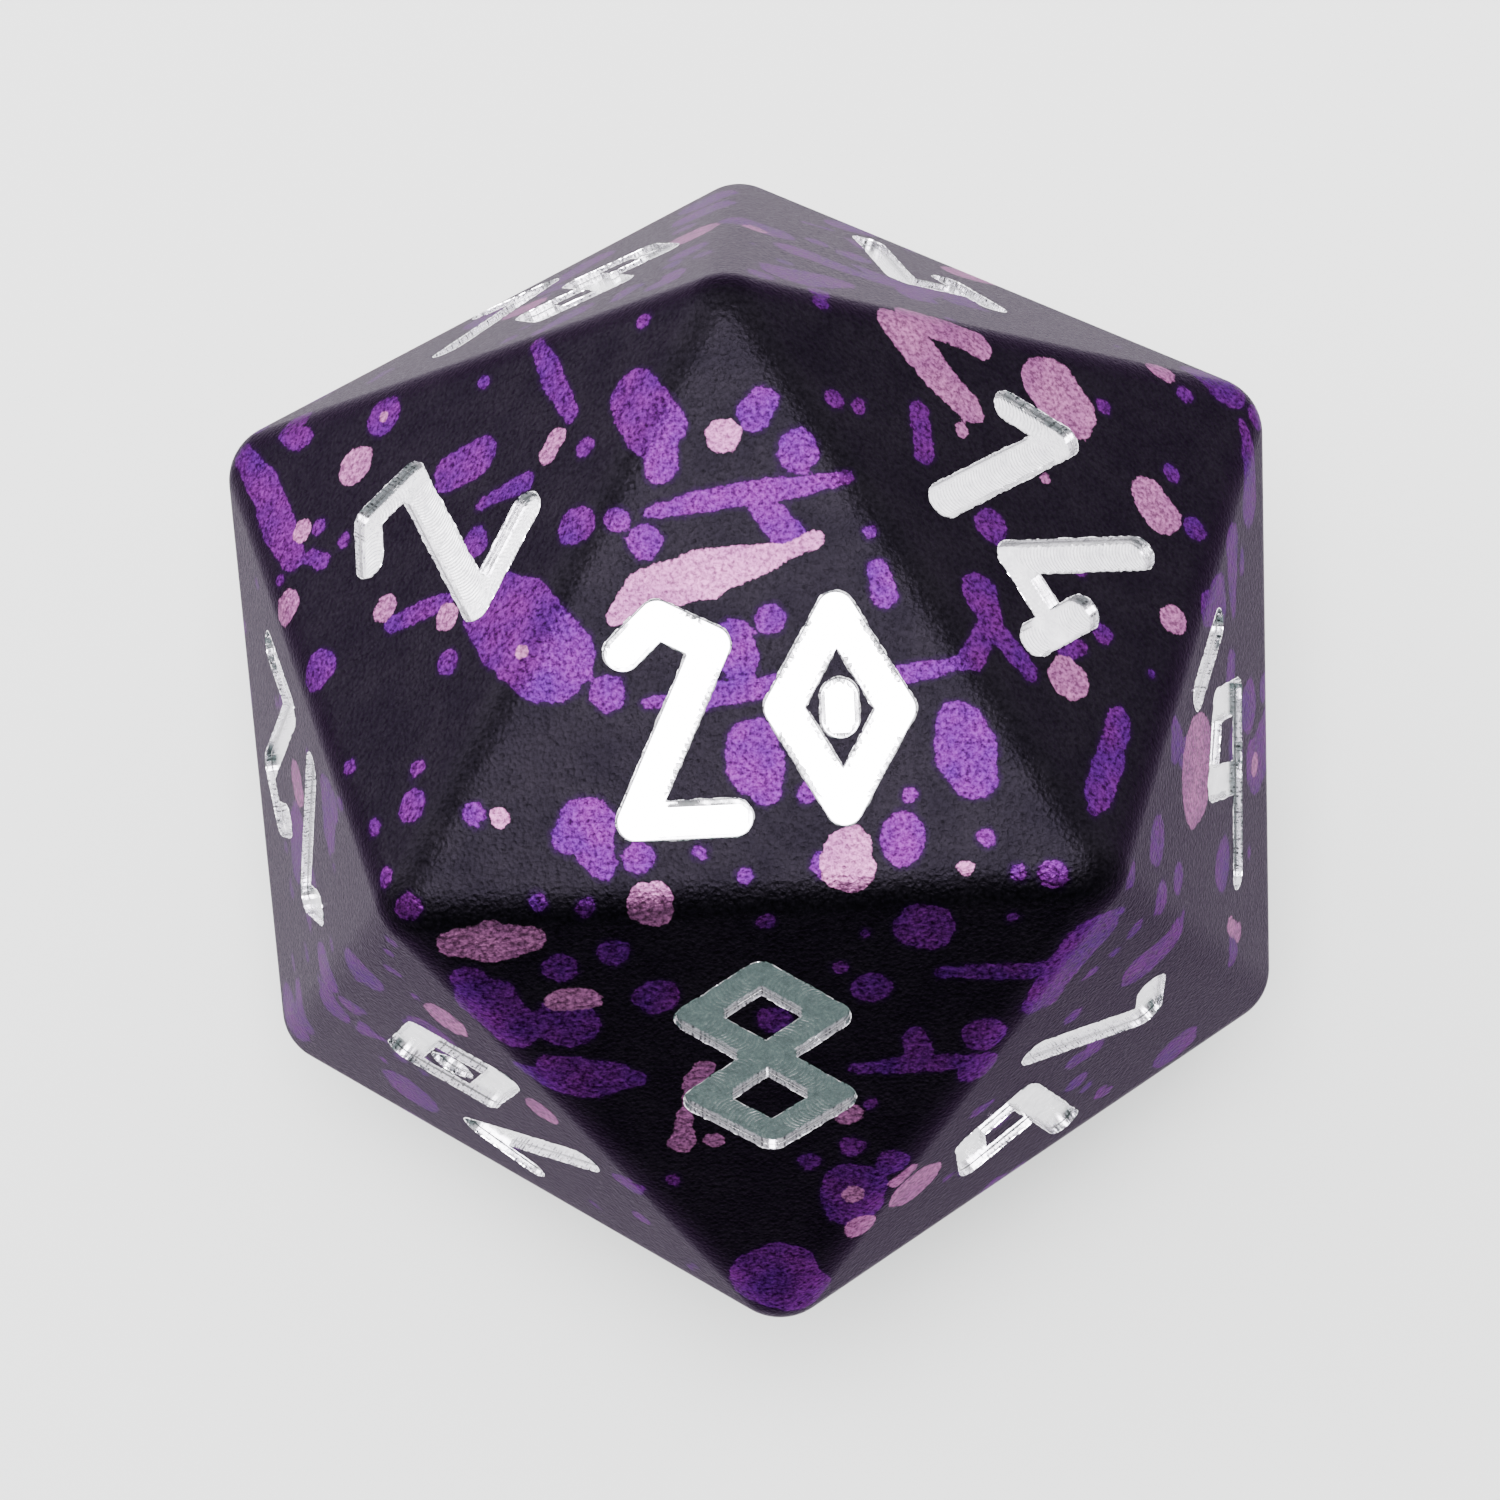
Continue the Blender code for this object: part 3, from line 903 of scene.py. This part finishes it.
def bare_metal_material():
    """Freshly milled aluminium: arcs from the cutter on the floors, scraped and speckled walls, with painted
    light on the walls and painted shade in their pits and at their feet.
    """
    material = bpy.data.materials.new("milled_aluminium")
    nodes = Nodes(material)
    where = nodes.add("TexCoord", output="Object")
    wall = nodes.attribute("wall")
    sweep = nodes.attribute("sweep")
    foot = nodes.attribute("foot")
    calm = nodes.attribute("calm")

    # Arcs cross the floors and flutes run down the walls, both broken up by smears.
    smear = nodes.noise(where, SMEAR_SCALE, 3.0, 0.6)
    speckle = nodes.noise(where, SPECKLE_SCALE, 3.0, 0.7)
    phase = nodes.math("MULTIPLY_ADD", sweep, math.tau / ARC_PITCH, nodes.math("MULTIPLY", smear, 5.0))
    arcs = nodes.math("MULTIPLY", nodes.math("SINE", phase), nodes.ramp(smear, 0.35, 0.65, 0.35, 1.0))
    along = nodes.math("MULTIPLY_ADD", sweep, math.tau / FLUTE_PITCH, nodes.math("MULTIPLY", smear, 9.0))
    flutes = nodes.math("SINE", along)
    floor_height = nodes.math("MULTIPLY", nodes.math("MULTIPLY", arcs, calm), 0.16)
    floor_height = nodes.math("MULTIPLY_ADD", speckle, 0.45, floor_height)
    wall_height = nodes.math("MULTIPLY_ADD", flutes, 0.10, nodes.math("MULTIPLY", speckle, 0.45))
    height = nodes.ramp(wall, 0.0, 1.0, floor_height, wall_height)

    # Arcs, smears and speckles tone the metal, and the walls are painted lighter as painted light. Painted
    # shade darkens pits between the flutes and the groove at a wall's foot.
    tone_and_wall_light = nodes.math("MULTIPLY_ADD", arcs, 0.05, nodes.ramp(smear, 0.3, 0.7, -0.12, 0.12))
    tone_and_wall_light = nodes.math("ADD", tone_and_wall_light, nodes.ramp(speckle, 0.3, 0.7, -0.10, 0.10))
    tone_and_wall_light = nodes.ramp(nodes.math("MULTIPLY_ADD", wall, 0.36, tone_and_wall_light), -0.28, 0.28)
    pit_shade = nodes.math("MULTIPLY", nodes.ramp(speckle, 0.51, 0.43), nodes.ramp(flutes, 0.5, -0.4, 0.15, 1.0))
    pit_shade = nodes.math("MULTIPLY", nodes.math("MULTIPLY", pit_shade, wall), 0.85)
    foot_shade = nodes.math("MULTIPLY", nodes.math("POWER", foot, 3.0), 0.5)
    painted_shade = nodes.math("MAXIMUM", pit_shade, foot_shade)

    inputs = {
        "Base Color": nodes.mix(painted_shade, nodes.mix(tone_and_wall_light, *BARE_METAL), PAINTED_SHADE_COLOUR),
        "Metallic": 1.0,
        "Roughness": nodes.ramp(speckle, 0.3, 0.7, 0.09, 0.16),
        "Normal": nodes.bump(height, MILLED_HEIGHT),
    }
    nodes.finish("Principled BSDF", inputs)
    return material


def ragged_rim(ring, chance):
    """The film's edge round a pocket, a little outside it and uneven."""
    count = len(ring)
    quick_period, slow_period = RIM_PERIODS
    spread = RIM_REACH + RIM_QUICK_WANDER * wander(chance, count, quick_period)
    spread = spread + RIM_SLOW_WANDER * wander(chance, count, slow_period)
    return ring + outward(ring) * spread[:, None]


def add_splashes(film, frames):
    """Each point's distance to the nearest violet splash and the nearest pink one, kept on the film."""
    points = np.empty(len(film.data.vertices) * 3)
    film.data.vertices.foreach_get("co", points)
    points = points.reshape(-1, 3)
    for name, chains in zip(("violet", "pink"), all_splashes()):
        field = splash_field(points, chains, frames)
        film.data.attributes.new(name, "FLOAT", "POINT").data.foreach_set("value", field)


def build_die():
    """The film and the bare metal, riding on the root body in place of the CAD die."""
    chance = random.Random(OPPOSITE_SUM)
    frames = numbered_frames()
    lattice = face_lattice()
    skin = Surface()
    pockets = Surface()
    for number in sorted(frames):
        rings = numeral_rings(number)
        rims = [ragged_rim(ring, chance) for ring in rings]
        add_film_of_face(skin, frames[number], rims, lattice)
        add_pocket(pockets, number, frames[number], rings, rims, chance)

    film = skin.make("die_skin", film_material())
    weld(film)
    metal = pockets.make("numeral_pockets", bare_metal_material())
    weld(metal)
    add_splashes(film, frames)
    for piece in (film, metal):
        piece.data.shade_smooth()
        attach(piece, "root")
    metal.data.set_sharp_from_angle(angle=WALL_CREASE)
    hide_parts("die_body")


def softbox(name, place, size, radiance):
    """A rectangular light that faces the die."""
    data = bpy.data.lights.new(name, "AREA")
    data.shape = "RECTANGLE"
    data.size, data.size_y = size
    data.energy = radiance * math.pi * size[0] * size[1]
    light = bpy.data.objects.new(name, data)
    light.location = place
    toward_die = Vector((0.0, 0.0, INRADIUS)) - Vector(place)
    light.rotation_euler = toward_die.to_track_quat("-Z", "Y").to_euler()
    bpy.context.scene.collection.objects.link(light)


def build_room():
    """Soft light from all round, bright behind the die, dim and a little green in front of it."""
    world = bpy.data.worlds.new("studio")
    bpy.context.scene.world = world
    nodes = Nodes(world)
    direction = nodes.add("TexCoord", output="Generated")
    depth = nodes.add("SeparateXYZ", {0: direction}, output="Y")
    inputs = {
        "Color": nodes.mix(nodes.ramp(depth, -0.8, -0.3), *ROOM_TINTS),
        "Strength": nodes.ramp(depth, -0.85, 0.9, 0.27, 2.6, "SMOOTHSTEP"),
    }
    nodes.finish("Background", inputs)


def build_studio():
    """The room, a plain pale floor and the softboxes."""
    build_room()
    material = bpy.data.materials.new("pale_floor")
    nodes = Nodes(material)
    where = nodes.add("TexCoord", output="Object")
    tone = nodes.mix(nodes.noise(where, FLOOR_TONE_SCALE, 4.0, 0.5), *FLOOR_COLOURS)
    nodes.finish("Principled BSDF", {"Base Color": tone, "Roughness": 0.7})
    bpy.ops.mesh.primitive_plane_add(size=FLOOR_SIZE, location=(0.0, 0.0, LOW.z))
    floor = bpy.context.object
    floor.name = "floor"
    floor.data.materials.append(material)
    for name, (place, size, radiance) in SOFTBOXES.items():
        softbox(name, place, size, radiance)


def build_camera():
    """Above the die and a little towards its -Y side, looking down on face 20."""
    data = bpy.data.cameras.new("camera")
    data.lens = CAMERA_LENS
    data.sensor_width = CAMERA_SENSOR
    data.clip_start = CAMERA_NEAREST
    camera = bpy.data.objects.new("camera", data)
    back = CAMERA_BACK.normalized()
    right = CAMERA_UP.cross(back).normalized()
    turn = Matrix((right, back.cross(right), back)).transposed().to_4x4()
    camera.matrix_world = Matrix.Translation(CENTRE + CAMERA_PLACE * EDGE) @ turn
    bpy.context.scene.collection.objects.link(camera)
    bpy.context.scene.camera = camera


build_die()
build_studio()
build_camera()
